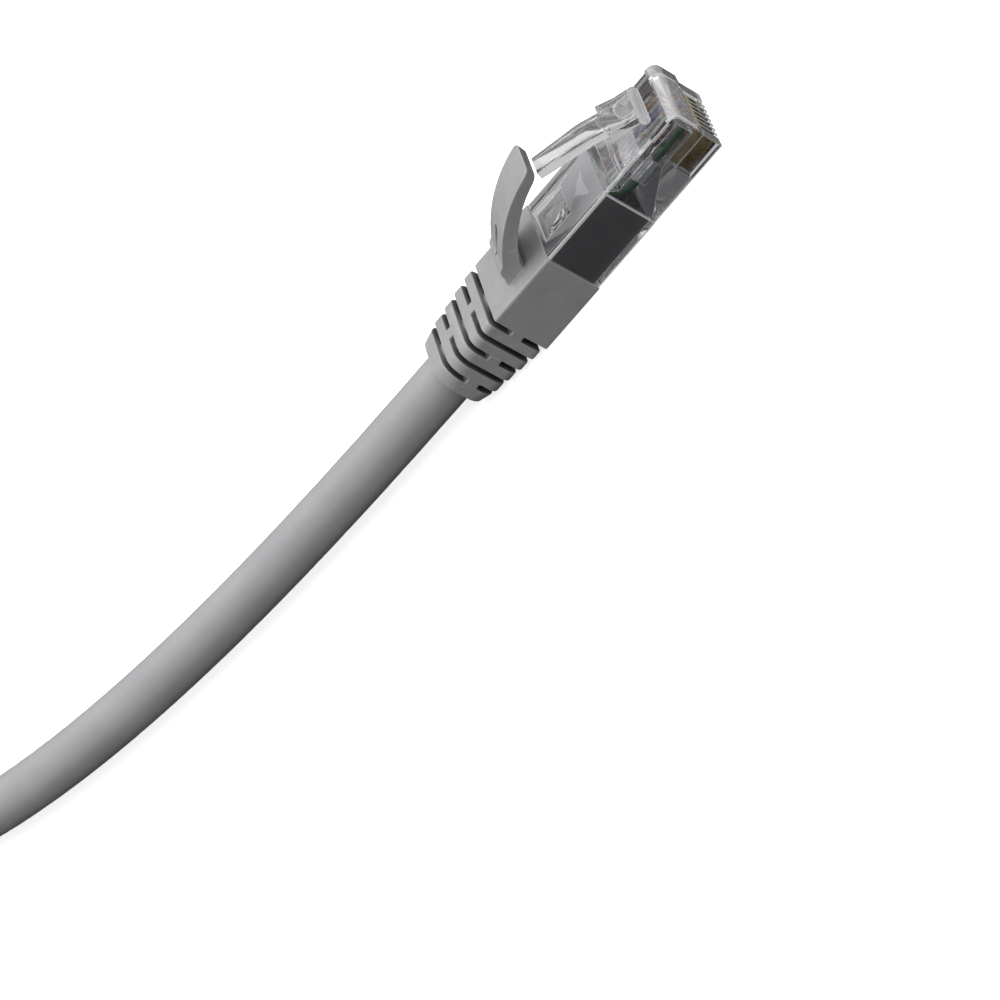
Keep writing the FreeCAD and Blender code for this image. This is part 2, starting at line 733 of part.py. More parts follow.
def place_in_core(pin, distance):
    """Where a wire is in the cable's core: (sideways, up) from the axis."""
    pair, side = pair_of(pin)
    share = (distance - FAN_BACK) / (CABLE_TIP_TO_TIP - 2 * FAN_BACK)
    share = min(max(share, 0.0), 1.0)
    turn = lay_angle(distance)
    centre_angle = math.radians(45 + 90 * pair["quadrant"]) + turn
    wire_angle = PAIR_PHASE + turn + 2 * math.pi * pair["turns"] * share
    reach = PAIR_OFFSET * math.sqrt(2)
    return (
        reach * math.cos(centre_angle) + side * PAIR_RADIUS * math.cos(wire_angle),
        reach * math.sin(centre_angle) + side * PAIR_RADIUS * math.sin(wire_angle),
    )


def wire_place(pin, distance):
    """Where a wire is at a distance from nose A: in the core, fanning out, or in the row at a plug."""
    from_nose = min(distance, CABLE_TIP_TO_TIP - distance)
    fanned = min(max((FAN_BACK - from_nose) / (FAN_BACK - FAN_FRONT), 0.0), 1.0)
    near_a = distance < CABLE_TIP_TO_TIP / 2
    row_sideways = -pin_y(pin) if near_a else pin_y(pin)
    sideways, up = place_in_core(pin, distance)
    sideways += (row_sideways - sideways) * smooth(fanned, *FAN_SIDEWAYS)
    up += (ROW_Z - CABLE_AXIS_Z - up) * smooth(fanned, *FAN_UPWARDS)
    return beside_path(distance, sideways, up)


def wire_spine(pin, end_x):
    """The points along one wire, closer together where it fans out and where it twists."""
    pair, _ = pair_of(pin)
    first, last = -end_x, CABLE_TIP_TO_TIP + end_x
    core_length = CABLE_TIP_TO_TIP - 2 * FAN_BACK
    core_step = core_length / (pair["turns"] * STATIONS_PER_TURN)
    fan_step = (FAN_BACK - FAN_FRONT) / FAN_STATIONS
    distances = stations(first, FAN_FRONT, SPINE_STEP / 2)
    distances += stations(FAN_FRONT, FAN_BACK, fan_step)[1:]
    distances += stations(FAN_BACK, CABLE_TIP_TO_TIP - FAN_BACK, core_step)[1:]
    distances += stations(CABLE_TIP_TO_TIP - FAN_BACK, CABLE_TIP_TO_TIP - FAN_FRONT, fan_step)[1:]
    distances += stations(CABLE_TIP_TO_TIP - FAN_FRONT, last, SPINE_STEP / 2)[1:]
    return [wire_place(pin, d) for d in distances]


def cut_by_tines(body, pin):
    """Takes the room of one pin's tines out of a wire or a conductor, at both ends."""
    room = tine_room(pin)
    return body.cut(room).cut(to_end_b(room))


def make_wire(pin):
    """The insulation of one wire: a tube around its conductor, pierced by the tines at both ends."""
    return cut_by_tines(tube(wire_spine(pin, WIRE_END_X), WIRE_RADIUS, CORE_RADIUS + CORE_CLEARANCE), pin)


def make_core(pin):
    """One copper conductor."""
    return cut_by_tines(rod(wire_spine(pin, WIRE_END_X), CORE_RADIUS), pin)


# ---- ends and export ----
def to_end_b(shape):
    """Moves a piece from end A to end B: a quarter turn about Z, then to where nose B is."""
    _, x, y, _ = PATH[-1]
    moved = shape.copy()
    moved.Placement = FreeCAD.Placement(Vector(x, y, 0), FreeCAD.Rotation(Vector(0, 0, 1), 90)).multiply(
        moved.Placement
    )
    return moved


def plug_pieces():
    """Every piece of one end, by its name without the end's letter."""
    pieces = {
        "plug_housing": make_housing(),
        "plug_latch": make_latch(),
        "load_bar": make_load_bar(),
        "boot": make_boot(),
        "boot_hood": make_hood(),
    }
    for pin in range(1, PIN_COUNT + 1):
        pieces[f"contact_{pin}"] = make_contact(pin)
    return pieces


def cable_pieces():
    pieces = {
        "cable_jacket": make_jacket(),
        "cross_spline": make_cross_spline(),
        "ripcord": make_ripcord(),
    }
    for pin, colour in PIN_COLOURS.items():
        pieces[f"wire_{colour}"] = make_wire(pin)
        pieces[f"core_{colour}"] = make_core(pin)
    return pieces


def main():
    os.makedirs("parts", exist_ok=True)
    pieces = {}
    for name, shape in plug_pieces().items():
        pieces[f"{name}_a"] = shape
        pieces[f"{name}_b"] = to_end_b(shape)
    pieces.update(cable_pieces())
    for name, shape in pieces.items():
        (solid,) = shape.Solids
        solid.exportStep(f"parts/{name}.step")


main()
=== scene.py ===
import math

import bmesh
import bpy
from mathutils import Matrix, Vector


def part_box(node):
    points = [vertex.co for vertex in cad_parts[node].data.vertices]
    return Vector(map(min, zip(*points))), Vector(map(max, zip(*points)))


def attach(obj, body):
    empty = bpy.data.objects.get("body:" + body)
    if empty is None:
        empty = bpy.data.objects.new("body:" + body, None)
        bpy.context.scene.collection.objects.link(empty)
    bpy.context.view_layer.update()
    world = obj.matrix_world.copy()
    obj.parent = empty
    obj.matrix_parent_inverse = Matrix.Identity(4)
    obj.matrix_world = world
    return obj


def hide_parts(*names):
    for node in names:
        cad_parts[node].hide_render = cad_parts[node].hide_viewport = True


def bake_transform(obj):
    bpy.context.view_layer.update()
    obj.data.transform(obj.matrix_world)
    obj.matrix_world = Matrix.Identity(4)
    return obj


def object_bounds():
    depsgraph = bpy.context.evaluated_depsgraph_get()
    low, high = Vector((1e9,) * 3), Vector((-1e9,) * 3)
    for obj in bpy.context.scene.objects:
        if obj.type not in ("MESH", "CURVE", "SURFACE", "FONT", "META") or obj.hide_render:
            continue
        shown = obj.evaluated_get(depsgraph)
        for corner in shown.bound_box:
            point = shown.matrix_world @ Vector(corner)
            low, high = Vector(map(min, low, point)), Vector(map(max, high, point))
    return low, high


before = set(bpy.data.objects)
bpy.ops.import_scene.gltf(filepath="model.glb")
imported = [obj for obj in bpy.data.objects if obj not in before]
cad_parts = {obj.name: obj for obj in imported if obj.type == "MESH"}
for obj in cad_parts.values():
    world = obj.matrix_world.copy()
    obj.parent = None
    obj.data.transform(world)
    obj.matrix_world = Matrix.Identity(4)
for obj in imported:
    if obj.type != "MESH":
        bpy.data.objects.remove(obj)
cad_box = [list(corner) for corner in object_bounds()]

# The looks of an ethernet patch cable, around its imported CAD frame. Lengths are in millimetres, except in the
# finished meshes, and MM turns them into Blender's metres. Every plug and boot piece is made at end A and
# copied to end B.

MM = 0.001
PIN_COUNT = 8

# ---- mesh work ----
WELD_DISTANCE = 0.001
FLAT_ANGLE = math.radians(1.0)
EDGE_ANGLE = math.radians(35)
SHARP_ANGLE = math.radians(38)
CLEAR_EDGE = 0.07
CONTACT_EDGE = 0.04
ROUNDED_LEAST_LENGTH = 0.6
ROUNDING_SEGMENTS = 2
ROUND_PROFILE = 0.5

# ---- face marks: narrow faces of clear plastic get a painted highlight and glow, and its wide side faces painted shade ----
PAINTED_EDGE_MARK = "catches_light"
SHADED_SIDE_MARK = "wide_side"
NARROW_WIDTH = 0.42
# front faces get part of the painted highlight and glow, partly a frosted look and partly painted glow
FRONT_FROST_AND_GLOW = 0.55
SIDE_LEAST_AREA = 30.0
LEAST_FACING = 0.9

# ---- boot and hood: the root is measured from the hood's low corner, and its sink from the collar's top ----
BOOT_VOXEL = 0.1
BOOT_SMOOTHING_STEPS = 2
BOOT_SMOOTHING_FACTOR = 0.5
HOOD_ROOT_SINK = 0.4
HOOD_ROOT_HEIGHT = 1.15
HOOD_ROOT_REAR = -0.85
HOOD_ROOT_FRONT = 2.05
HOOD_ROOT_TOP_FRONT = 2.95

# ---- plain values of the shader nodes ----
WHITE = (1, 1, 1)
BLACK = (0, 0, 0)
NOISE_DETAIL = 2.0
NOISE_LOW = 0.35
NOISE_HIGH = 0.65
COLOUR_INPUTS = (6, 7)
COLOUR_OUTPUT = 2
NUMBER_INPUTS = (2, 3)
NUMBER_OUTPUT = 0
SHADER_INPUTS = (1, 2)

# ---- plastics ----
BOOT_GREYS = ((0.305, 0.305, 0.315), (0.33, 0.33, 0.337))
# painted highlight: the colour that the boot's convex edges are lightened towards
BOOT_PAINTED_EDGE_HIGHLIGHT = (0.5, 0.5, 0.51)
# painted shade: the colour of the hollows between the ribs, and how far the painted shade looks for what shades
# them
BOOT_PAINTED_SHADE = (0.06, 0.06, 0.062)
PAINTED_SHADE_REACH = 1.6
JACKET_GREYS = ((0.335, 0.335, 0.345), (0.36, 0.36, 0.368))
PVC_SHINE = 0.4
NATURAL_TONES = ((0.72, 0.72, 0.70), (0.62, 0.62, 0.60))
CLEAR_IOR = 1.57
CLEAR_TINT = (0.93, 0.93, 0.95)
# painted shade: the wide side faces of clear plastic are darkened from this height up, so a clear strip stays
# along the bottom
SIDE_PAINTED_SHADE = (0.45, 0.45, 0.47)
SIDE_PAINTED_SHADE_START_Z = 0.5
SIDE_PAINTED_SHADE_FULL_Z = 0.8
CLEAR_DARKENING = 0.1
# painted highlight and glow on clear plastic's narrow edges: how white they get, and how strongly and how much
# they glow
EDGE_PAINTED_HIGHLIGHT = 0.38
EDGE_PAINTED_GLOW = 0.8
EDGE_PAINTED_GLOW_SHARE = 0.5

# ---- metals ----
GOLD_TONES = ((0.62, 0.5, 0.28), (0.52, 0.4, 0.2))
COPPER_TONES = ((0.8, 0.42, 0.27), (0.62, 0.3, 0.18))

# ---- wires ----
WIRE_COLOURS = {
    "green": (0.02, 0.16, 0.04),
    "orange": (0.3, 0.12, 0.05),
    "blue": (0.06, 0.05, 0.2),
    "brown": (0.1, 0.05, 0.04),
}
WIRE_WHITE = (0.36, 0.36, 0.35)
WIRE_DARKER = 0.85
BAND_SPACING = 1.9
BAND_WIDTH = 0.3
BAND_SOFT_EDGE = 1.15

# ---- camera: a place, and the directions of the picture's right, its top and away from the view ----
CAMERA_PLACE = Vector((166.84, -466.57, 291.57)) * MM
CAMERA_RIGHT = Vector((0.6148, -0.2028, -0.7622))
CAMERA_UP = Vector((0.6952, 0.5958, 0.4021))
CAMERA_BACK = Vector((0.3726, -0.7771, 0.5073))
SENSOR_WIDTH = 36.0
LENS = 176.44
CAMERA_NEAR = 10 * MM
CAMERA_FAR = 50000 * MM

# ---- studio ----
LIT_PLACE = Vector((-40, 0, 0))
FLOOR_HALF_SIZE = 3000.0
FLOOR_GAP = 0.02
FLOOR_GLOW = 0.8
FLOOR_TONES = ((0.86, 0.86, 0.86), (0.88, 0.88, 0.88))
DOME_BRIGHTNESS = 0.8
SEEN_THROUGH = 0.92
SEE_THROUGH_SURFACES = 3.5
ANY_DEPTH = 0.5
MOST_BOUNCES = 16
GLOSSY_BOUNCES = 10
TRANSMISSION_BOUNCES = 14


# ---- meshes ----
def node_shape(node):
    """A CAD node's mesh as a clean bmesh in millimetres, with its flat faces whole again."""
    shape = bmesh.new()
    shape.from_mesh(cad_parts[node].data)
    bmesh.ops.scale(shape, vec=(1 / MM,) * 3, verts=shape.verts)
    bmesh.ops.remove_doubles(shape, verts=shape.verts, dist=WELD_DISTANCE)
    bmesh.ops.dissolve_limit(
        shape, angle_limit=FLAT_ANGLE, verts=shape.verts, edges=shape.edges, use_dissolve_boundaries=False
    )
    return shape


def add_prism(shape, outline, y_range):
    """Adds a closed prism whose outline is given as (x, z) corners."""
    near = [shape.verts.new((x, y_range[0], z)) for x, z in outline]
    far = [shape.verts.new((x, y_range[1], z)) for x, z in outline]
    faces = [shape.faces.new(near), shape.faces.new(far[::-1])]
    for index in range(len(outline)):
        after = (index + 1) % len(outline)
        faces.append(shape.faces.new((near[after], near[index], far[index], far[after])))
    bmesh.ops.recalc_face_normals(shape, faces=faces)


def add_shape(shape, other):
    """Adds every face of another bmesh."""
    mesh = bpy.data.meshes.new("joined")
    other.to_mesh(mesh)
    shape.from_mesh(mesh)
    bpy.data.meshes.remove(mesh)


def round_edges(shape, width):
    """Rounds the sharp edges that are long enough to carry the rounding."""
    edges = [
        edge
        for edge in shape.edges
        if len(edge.link_faces) == 2
        and abs(edge.calc_face_angle(0)) > EDGE_ANGLE
        and edge.calc_length() > ROUNDED_LEAST_LENGTH
    ]
    bmesh.ops.bevel(
        shape,
        geom=edges,
        offset=width,
        segments=ROUNDING_SEGMENTS,
        profile=ROUND_PROFILE,
        affect="EDGES",
        clamp_overlap=False,
    )


def mark_faces(shape):
    """Marks how much painted highlight and glow a face of clear plastic gets, and the wide side faces, which
    get painted shade.
    """
    light = shape.faces.layers.float.new(PAINTED_EDGE_MARK)
    side = shape.faces.layers.float.new(SHADED_SIDE_MARK)
    for face in shape.faces:
        longest = max(edge.calc_length() for edge in face.edges)
        if face.calc_area() < NARROW_WIDTH * longest:
            face[light] = 1.0
        elif face.normal.x > LEAST_FACING:
            face[light] = FRONT_FROST_AND_GLOW
        face[side] = float(face.calc_area() > SIDE_LEAST_AREA and abs(face.normal.y) > LEAST_FACING)


def new_object(name, shape):
    """An object from a bmesh, which is used up."""
    mesh = bpy.data.meshes.new(name)
    shape.to_mesh(mesh)
    shape.free()
    thing = bpy.data.objects.new(name, mesh)
    bpy.context.scene.collection.objects.link(thing)
    return thing


def apply_modifiers(thing):
    """Turns an object's modifiers into its mesh."""
    graph = bpy.context.evaluated_depsgraph_get()
    mesh = bpy.data.meshes.new_from_object(thing.evaluated_get(graph))
    thing.modifiers.clear()
    thing.data = mesh


def shade(thing, material, sharp_angle):
    """Gives a finished mesh its material and smooth shading that keeps sharp edges sharp."""
    thing.data.materials.clear()
    thing.data.materials.append(material)
    thing.data.shade_smooth()
    thing.data.set_sharp_from_angle(angle=sharp_angle)


def to_metres(thing):
    """Turns a mesh in millimetres into one in metres."""
    thing.data.transform(Matrix.Scale(MM, 4))


def end_b_place():
    """What moves a point of end A to the same point of end B."""
    low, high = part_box("plug_housing_b")
    nose = Vector(((low.x + high.x) / 2, high.y, 0))
    return Matrix.Translation(nose) @ Matrix.Rotation(math.radians(90), 4, "Z")


END_B = end_b_place()


def copy_to_end_b(thing):
    """A copy of an end A piece at end B, whose name ends in b instead of a."""
    mesh = thing.data.copy()
    mesh.transform(END_B)
    copy = bpy.data.objects.new(thing.name[:-1] + "b", mesh)
    bpy.context.scene.collection.objects.link(copy)
    return copy


# ---- materials ----
class Finish:
    """A procedural material being built: texture sockets that feed one main shader."""

    def __init__(self, name, roughness):
        self.material = bpy.data.materials.new(name)
        self.material.use_nodes = True
        self.tree = self.material.node_tree
        self.shader = self.tree.nodes["Principled BSDF"]
        self.shader.inputs["Roughness"].default_value = roughness
        self.output = self.tree.nodes["Material Output"]
        self.place = self.add("ShaderNodeTexCoord").outputs["Object"]

    def add(self, kind):
        return self.tree.nodes.new(kind)

    def join(self, source, target):
        self.tree.links.new(source, target)

    def noise(self, size, detail=NOISE_DETAIL, stretch=(1, 1, 1)):
        """Noise whose features are about size millimetres across, shrunk along each axis by stretch."""
        scaling = self.add("ShaderNodeMapping")
        scaling.inputs["Scale"].default_value = stretch
        self.join(self.place, scaling.inputs["Vector"])
        texture = self.add("ShaderNodeTexNoise")
        texture.inputs["Scale"].default_value = 1 / (size * MM)
        texture.inputs["Detail"].default_value = detail
        self.join(scaling.outputs["Vector"], texture.inputs["Vector"])
        return texture.outputs["Fac"]

    def spread(self, value, low, high, start=NOISE_LOW, end=NOISE_HIGH):
        """Turns value between start and end into a number between low and high."""
        spread = self.add("ShaderNodeMapRange")
        spread.inputs["From Min"].default_value = start
        spread.inputs["From Max"].default_value = end
        spread.inputs["To Min"].default_value = low
        spread.inputs["To Max"].default_value = high
        self.join(value, spread.inputs["Value"])
        return spread.outputs["Result"]

    def two_colours(self, share, first, second):
        """A colour that goes from first to second as share goes from 0 to 1."""
        mix = self.add("ShaderNodeMix")
        mix.data_type = "RGBA"
        self.join(share, mix.inputs["Factor"])
        for socket, colour in zip(COLOUR_INPUTS, (first, second)):
            if isinstance(colour, bpy.types.NodeSocket):
                self.join(colour, mix.inputs[socket])
            else:
                mix.inputs[socket].default_value = (*colour, 1)
        return mix.outputs[COLOUR_OUTPUT]

    def blotches(self, tones, size, detail=NOISE_DETAIL):
        """A colour that wanders between two tones, in blotches about size millimetres across."""
        return self.two_colours(self.spread(self.noise(size, detail), 0, 1), *tones)

    def height(self):
        """The height above the frame's origin, in metres."""
        split = self.add("ShaderNodeSeparateXYZ")
        self.join(self.place, split.inputs["Vector"])
        return split.outputs["Z"]

    def mark(self, name):
        """The value of a face mark."""
        attribute = self.add("ShaderNodeAttribute")
        attribute.attribute_name = name
        return attribute.outputs["Fac"]

    def times(self, first, second):
        """The product of two values."""
        product = self.add("ShaderNodeMath")
        product.operation = "MULTIPLY"
        self.join(first, product.inputs[0])
        self.join(second, product.inputs[1])
        return product.outputs["Value"]

    def mix_shaders(self, share, first, second):
        """A shader that goes from first to second as share goes from 0 to 1."""
        mix = self.add("ShaderNodeMixShader")
        if isinstance(share, bpy.types.NodeSocket):
            self.join(share, mix.inputs["Fac"])
        else:
            mix.inputs["Fac"].default_value = share
        for socket, source in zip(SHADER_INPUTS, (first, second)):
            self.join(source, mix.inputs[socket])
        return mix.outputs["Shader"]

    def colour(self, source):
        self.join(source, self.shader.inputs["Base Color"])

    def roughness(self, source):
        self.join(source, self.shader.inputs["Roughness"])

    def surface(self, source):
        self.join(source, self.output.inputs["Surface"])

    def bump(self, height, depth, strength=1.0):
        """Raises the surface by height times depth millimetres, on top of any bump that is already there."""
        bump = self.add("ShaderNodeBump")
        bump.inputs["Distance"].default_value = depth * MM
        bump.inputs["Strength"].default_value = strength
        self.join(height, bump.inputs["Height"])
        normal = self.shader.inputs["Normal"]
        if normal.is_linked:
            self.join(normal.links[0].from_socket, bump.inputs["Normal"])
        self.join(bump.outputs["Normal"], normal)


def moulded_pvc():
    """Satin grey PVC of the boot: fine mould grain, a painted highlight on its convex edges and painted shade
    in the hollows between the ribs.
    """
    finish = Finish("moulded_pvc", 0.5)
    edge = finish.add("ShaderNodeNewGeometry").outputs["Pointiness"]
    # painted highlight: convex edges, found by their pointiness, are lightened towards a pale grey
    painted_highlight_share = finish.spread(edge, low=0, high=0.6, start=0.505, end=0.56)
    with_painted_highlight = finish.two_colours(painted_highlight_share, finish.blotches(BOOT_GREYS, size=2.5), BOOT_PAINTED_EDGE_HIGHLIGHT)
    # painted shade: ambient occlusion darkens the colour in the hollows between the ribs
    shade_occlusion = finish.add("ShaderNodeAmbientOcclusion")
    shade_occlusion.only_local = True
    shade_occlusion.inputs["Distance"].default_value = PAINTED_SHADE_REACH * MM
    unshaded_share = finish.spread(shade_occlusion.outputs["AO"], low=0, high=1, start=0.2, end=0.6)
    finish.colour(finish.two_colours(unshaded_share, BOOT_PAINTED_SHADE, with_painted_highlight))
    finish.roughness(finish.spread(finish.noise(size=0.8), low=0.42, high=0.58))
    finish.bump(finish.noise(size=0.12, detail=3), depth=0.012, strength=0.6)
    finish.bump(finish.noise(size=3.0), depth=0.03, strength=0.4)
    finish.shader.inputs["Specular IOR Level"].default_value = PVC_SHINE
    return finish.material


def extruded_pvc():
    """Satin grey PVC of the jacket: smoother than the boot, with faint waves from the extruder."""
    finish = Finish("extruded_pvc", 0.45)
    finish.colour(finish.blotches(JACKET_GREYS, size=6.0))
    finish.roughness(finish.spread(finish.noise(size=1.5), low=0.42, high=0.55))
    finish.bump(finish.noise(size=0.15, detail=3), depth=0.008, strength=0.6)
    finish.bump(finish.noise(size=7.0), depth=0.05, strength=0.4)
    finish.shader.inputs["Specular IOR Level"].default_value = PVC_SHINE
    return finish.material


def painted_light_edge(finish):
    """A painted highlight for clear plastic's narrow edges: white that glows a little, standing in for light
    that leaves through them.
    """
    white = finish.add("ShaderNodeBsdfDiffuse")
    white.inputs["Color"].default_value = (*WHITE, 1)
    glow = finish.add("ShaderNodeEmission")
    glow.inputs["Strength"].default_value = EDGE_PAINTED_GLOW
    return finish.mix_shaders(EDGE_PAINTED_GLOW_SHARE, white.outputs["BSDF"], glow.outputs["Emission"])


def clear_polycarbonate():
    """Clear polycarbonate with faint moulding waves. It darkens with depth. Its narrow edges and front faces
    get a painted highlight and glow, and its wide side faces painted shade.
    """
    finish = Finish("clear_polycarbonate", 0.02)
    finish.shader.inputs["Transmission Weight"].default_value = 1.0
    finish.shader.inputs["IOR"].default_value = CLEAR_IOR
    finish.roughness(finish.spread(finish.noise(size=1.2), low=0.01, high=0.06))
    finish.bump(finish.noise(size=2.2, detail=1), depth=0.02, strength=0.35)
    above_floor = finish.spread(
        finish.height(), low=0, high=1, start=SIDE_PAINTED_SHADE_START_Z * MM, end=SIDE_PAINTED_SHADE_FULL_Z * MM
    )
    # painted shade on the wide side faces, above a clear strip along the bottom
    painted_side_shade = finish.times(finish.mark(SHADED_SIDE_MARK), above_floor)
    finish.colour(finish.two_colours(painted_side_shade, CLEAR_TINT, SIDE_PAINTED_SHADE))
    # painted highlight and glow on narrow edges and front faces
    painted_edge_share = finish.spread(finish.mark(PAINTED_EDGE_MARK), low=0, high=EDGE_PAINTED_HIGHLIGHT, start=0, end=1)
    body = finish.mix_shaders(painted_edge_share, finish.shader.outputs["BSDF"], painted_light_edge(finish))
    is_shadow = finish.add("ShaderNodeLightPath").outputs["Is Shadow Ray"]
    let_through = finish.add("ShaderNodeBsdfTransparent")
    let_through.inputs["Color"].default_value = (*CLEAR_TINT, 1)
    finish.surface(finish.mix_shaders(is_shadow, body, let_through.outputs["BSDF"]))
    depth = finish.add("ShaderNodeVolumeAbsorption")
    depth.inputs["Color"].default_value = (*BLACK, 1)
    depth.inputs["Density"].default_value = CLEAR_DARKENING / MM
    finish.join(depth.outputs["Volume"], finish.output.inputs["Volume"])
    return finish.material


def gold_plate():
    """Gold plating with fine stamping lines and a little tarnish."""
    finish = Finish("gold_plate", 0.25)
    finish.shader.inputs["Metallic"].default_value = 1.0
    finish.colour(finish.blotches(GOLD_TONES, size=1.2))
    finish.roughness(finish.spread(finish.noise(size=0.3, detail=3), low=0.25, high=0.4))
    finish.bump(finish.noise(size=0.3, stretch=(1, 1, 0.2)), depth=0.002, strength=0.3)
    return finish.material


def bare_copper():
    """Drawn copper with lengthwise die lines."""
    finish = Finish("bare_copper", 0.3)
    finish.shader.inputs["Metallic"].default_value = 1.0
    finish.colour(finish.blotches(COPPER_TONES, size=0.5, detail=3))
    finish.bump(finish.noise(size=0.05, stretch=(0.1, 1, 1)), depth=0.004, strength=0.6)
    return finish.material


def insulation(name, colour, band=None):
    """Glossy wire insulation. The white wire of a pair has short bands in its partner's colour."""
    finish = Finish(name, 0.35)
    darker = tuple(part * WIRE_DARKER for part in colour)
    skin = finish.blotches((colour, darker), size=0.9)
    if band:
        skin = finish.two_colours(band_share(finish), skin, band)
    finish.colour(skin)
    finish.bump(finish.noise(size=0.2), depth=0.006, strength=0.5)
    return finish.material


def band_share(finish):
    """1 on the slanted bands around a wire and 0 between them."""
    along = finish.add("ShaderNodeVectorMath")
    along.operation = "DOT_PRODUCT"
    along.inputs[1].default_value = (1, 1, 0)
    finish.join(finish.place, along.inputs[0])
    repeat = finish.add("ShaderNodeMath")
    repeat.operation = "PINGPONG"
    repeat.inputs[1].default_value = BAND_SPACING * MM
    finish.join(along.outputs["Value"], repeat.inputs[0])
    start = BAND_WIDTH * MM
    end = start * BAND_SOFT_EDGE
    return finish.spread(repeat.outputs["Value"], low=1, high=0, start=start, end=end)


def natural_plastic():
    """Milky polyethylene of the cross spline and the ripcord."""
    finish = Finish("natural_plastic", 0.5)
    finish.colour(finish.blotches(NATURAL_TONES, size=1.0))
    finish.bump(finish.noise(size=0.2), depth=0.01, strength=0.5)
    return finish.material


def floor_paper():
    """Pale paper that glows evenly and is seen from above only."""
    finish = Finish("floor_paper", 0.9)
    paper = finish.blotches(FLOOR_TONES, size=40.0)
    finish.colour(paper)
    finish.join(paper, finish.shader.inputs["Emission Color"])
    finish.shader.inputs["Emission Strength"].default_value = FLOOR_GLOW
    from_below = finish.add("ShaderNodeNewGeometry").outputs["Backfacing"]
    nothing = finish.add("ShaderNodeBsdfTransparent").outputs["BSDF"]
    finish.surface(finish.mix_shaders(from_below, finish.shader.outputs["BSDF"], nothing))
    return finish.material


# ---- plug pieces ----
def ride_both_ends(thing, body, node):
    """Rides an end A piece and its end B copy on their bodies, in place of their CAD nodes."""
    for piece, end in ((thing, "a"), (copy_to_end_b(thing), "b")):
        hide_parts(f"{node}_{end}")
        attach(piece, f"{body}_{end}")


def make_hard_piece(node, body, material, edge_round):
    """A hard plug piece with its long edges rounded."""
    shape = node_shape(f"{node}_a")
    round_edges(shape, edge_round)
    mark_faces(shape)
    thing = new_object(f"{node}_look_a", shape)
    to_metres(thing)
    shade(thing, material, SHARP_ANGLE)
    ride_both_ends(thing, body, node)


def hood_root(hood_low):
    """The outline that joins the hood to the collar, as (x, z) corners."""
    collar_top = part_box("plug_housing_a")[1].z / MM
    bottom_z = collar_top - HOOD_ROOT_SINK
    top_z = hood_low.z + HOOD_ROOT_HEIGHT
    return [
        (hood_low.x + HOOD_ROOT_REAR, bottom_z),
        (hood_low.x, top_z),
        (hood_low.x + HOOD_ROOT_TOP_FRONT, top_z),
        (hood_low.x + HOOD_ROOT_FRONT, bottom_z),
    ]


def add_boot_skin(thing):
    """Makes one closed skin of a boot's overlapping shapes and softens its edges."""
    remesh = thing.modifiers.new("skin", "REMESH")
    remesh.mode = "VOXEL"
    remesh.voxel_size = BOOT_VOXEL
    smooth = thing.modifiers.new("soft_edges", "SMOOTH")
    smooth.factor = BOOT_SMOOTHING_FACTOR
    smooth.iterations = BOOT_SMOOTHING_STEPS
    apply_modifiers(thing)


def make_boot(material):
    """The boot and its hood as the one moulding that they are, joined at the hood's root."""
    hood_low, hood_high = [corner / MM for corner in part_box("boot_hood_a")]
    shape = node_shape("boot_a")
    add_shape(shape, node_shape("boot_hood_a"))
    add_prism(shape, hood_root(hood_low), (hood_low.y, hood_high.y))
    thing = new_object("snagless_boot_a", shape)
    add_boot_skin(thing)
    to_metres(thing)
    shade(thing, material, math.pi)
    for piece, letter in ((thing, "a"), (copy_to_end_b(thing), "b")):
        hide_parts(f"boot_{letter}", f"boot_hood_{letter}")
        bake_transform(piece)


def make_plugs():
    """Both plugs with their boots."""
    clear = clear_polycarbonate()
    gold = gold_plate()
    make_hard_piece("plug_housing", "plug", clear, CLEAR_EDGE)
    make_hard_piece("plug_latch", "latch", clear, CLEAR_EDGE)
    make_hard_piece("load_bar", "plug", clear, CLEAR_EDGE)
    for pin in range(1, PIN_COUNT + 1):
        make_hard_piece(f"contact_{pin}", "plug", gold, CONTACT_EDGE)
    make_boot(moulded_pvc())


# ---- cable pieces ----
def make_flexing_piece(node, name, material):
    """A smooth copy of a cable piece, in place of its CAD node."""
    shape = bmesh.new()
    shape.from_mesh(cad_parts[node].data)
    bmesh.ops.remove_doubles(shape, verts=shape.verts, dist=WELD_DISTANCE * MM)
    thing = new_object(name, shape)
    shade(thing, material, SHARP_ANGLE)
    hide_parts(node)
    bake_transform(thing)


def make_cable():
    """The jacket and everything that runs inside it."""
    make_flexing_piece("cable_jacket", "jacket_skin", extruded_pvc())
    natural = natural_plastic()
    make_flexing_piece("cross_spline", "spline_skin", natural)
    make_flexing_piece("ripcord", "ripcord_skin", natural)
    copper = bare_copper()
    for name, colour in WIRE_COLOURS.items():
        solid = insulation(f"insulation_{name}", colour)
        banded = insulation(f"insulation_white_{name}", WIRE_WHITE, colour)
        make_flexing_piece(f"wire_{name}", f"insulation_{name}", solid)
        make_flexing_piece(f"wire_white_{name}", f"insulation_white_{name}", banded)
        make_flexing_piece(f"core_{name}", f"conductor_{name}", copper)
        make_flexing_piece(f"core_white_{name}", f"conductor_white_{name}", copper)


# ---- studio ----
def make_floor():
    """A plain pale floor just under the boots, which the clear plugs don't mirror."""
    shape = bmesh.new()
    bmesh.ops.create_grid(shape, x_segments=1, y_segments=1, size=FLOOR_HALF_SIZE * MM)
    floor = new_object("floor", shape)
    floor.location.z = cad_box[0][2] - FLOOR_GAP * MM
    floor.data.materials.append(floor_paper())
    floor.visible_transmission = False
    floor.visible_glossy = False
    floor.visible_diffuse = False


